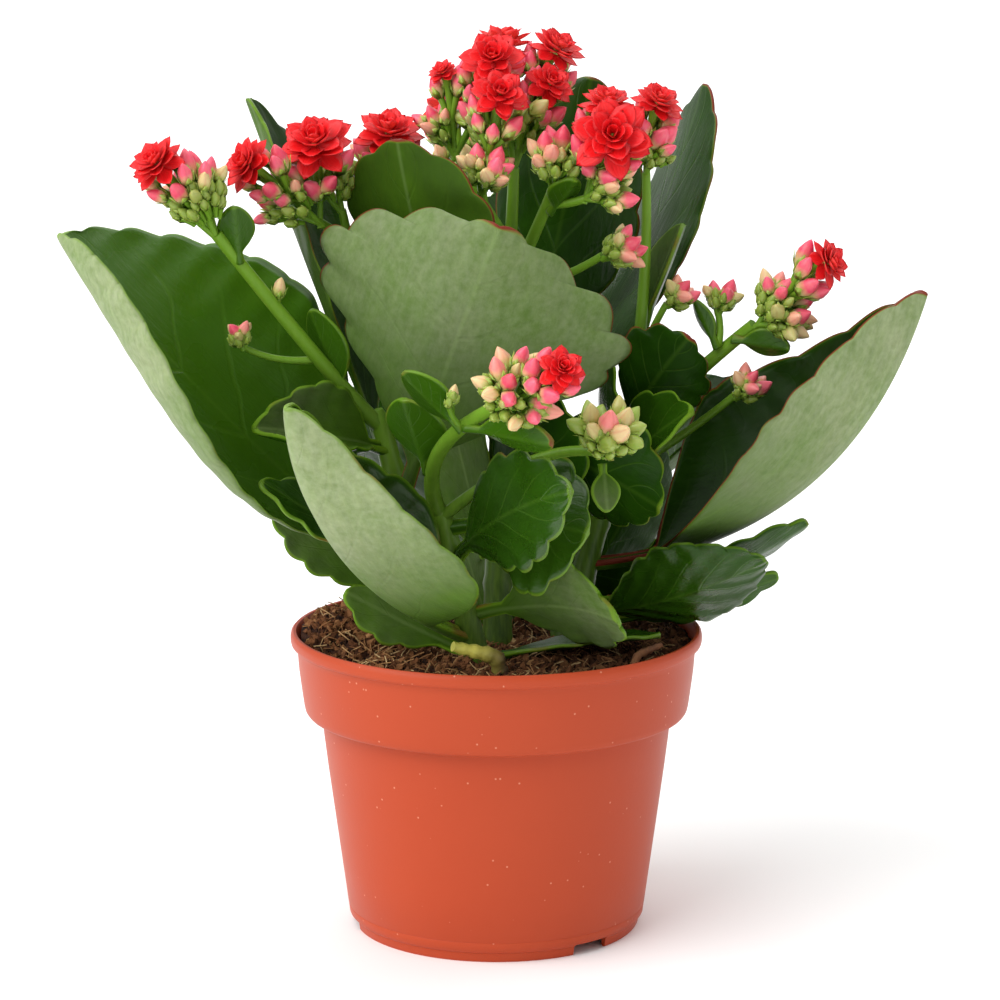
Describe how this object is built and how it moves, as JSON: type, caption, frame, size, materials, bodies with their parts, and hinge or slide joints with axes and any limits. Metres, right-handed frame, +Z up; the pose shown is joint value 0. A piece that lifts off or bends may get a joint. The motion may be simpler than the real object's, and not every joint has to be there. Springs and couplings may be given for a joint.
{
  "type": "potted kalanchoe",
  "caption": "Double-flowered kalanchoe with broad scalloped succulent leaves and stalked heads of red blooms and pink buds, in a tapered terracotta-coloured plastic nursery pot.",
  "frame": {"origin": "centre of the pot's foot ring, on the surface that the pot stands on, which is also the middle of the plant's outline from above to within 2 mm", "axes": "+Z up; the front as pictured faces -Y, +X to the right of that view"},
  "size_m": [0.2467, 0.1966, 0.2644],
  "materials": {
    "pot": "satin injection-moulded plastic, terracotta coloured",
    "soil": "fibrous brown peat mix",
    "shoot": "fleshy green stems with small leaves",
    "leaf": "glossy dark upper face, matt pale grey-green underside, thin reddish rim",
    "head": "pale green branches, green calyces, pink to cream buds",
    "bloom": "bright red petals with paler pink backs",
    "withered": "yellowed withered stalk with a brown end",
    "root": "dry brown root"
  },
  "bodies": {
    "root": {"pot": "pot", "soil": "soil", "root_twig": "root", "withered_stalk": "withered", "shoot_left": "shoot", "shoot_right": "shoot", "shoot_centre": "shoot", "shoot_front": "shoot", "shoot_back": "shoot", "leaf_wide_left": "leaf", "leaf_wide_right": "leaf", "leaf_front_tall": "leaf", "leaf_centre_tall": "leaf", "leaf_front_left": "leaf", "leaf_front_round": "leaf", "leaf_front_curved": "leaf", "leaf_front_hanging": "leaf", "leaf_low_right": "leaf", "leaf_low_right_back": "leaf", "leaf_low_right_under": "leaf", "leaf_middle_right": "leaf", "leaf_back_right_tall": "leaf", "leaf_left_tall": "leaf", "leaf_inner_right": "leaf", "leaf_inner_left": "leaf", "leaf_inner_centre": "leaf", "leaf_on_soil": "leaf", "leaf_low_left": "leaf", "leaf_back_tall": "leaf", "leaf_back_low": "leaf", "leaf_back_left_low": "leaf", "leaf_back_right_low": "leaf", "leaf_back_wide": "leaf", "leaf_back_upper": "leaf", "head_left": "head", "bloom_left_1": "bloom", "head_upper_left": "head", "bloom_upper_left_1": "bloom", "bloom_upper_left_2": "bloom", "bloom_upper_left_3": "bloom", "head_centre": "head", "bloom_centre_1": "bloom", "bloom_centre_2": "bloom", "bloom_centre_3": "bloom", "bloom_centre_4": "bloom", "bloom_centre_5": "bloom", "bloom_centre_6": "bloom", "bloom_centre_7": "bloom", "bloom_centre_8": "bloom", "head_upper_right": "head", "bloom_upper_right_1": "bloom", "head_right": "head", "bloom_right_1": "bloom", "head_right_low": "head", "head_front": "head", "bloom_front_1": "bloom", "head_front_cream": "head", "head_back": "head", "bloom_back_1": "bloom"}
  },
  "joints": []
}
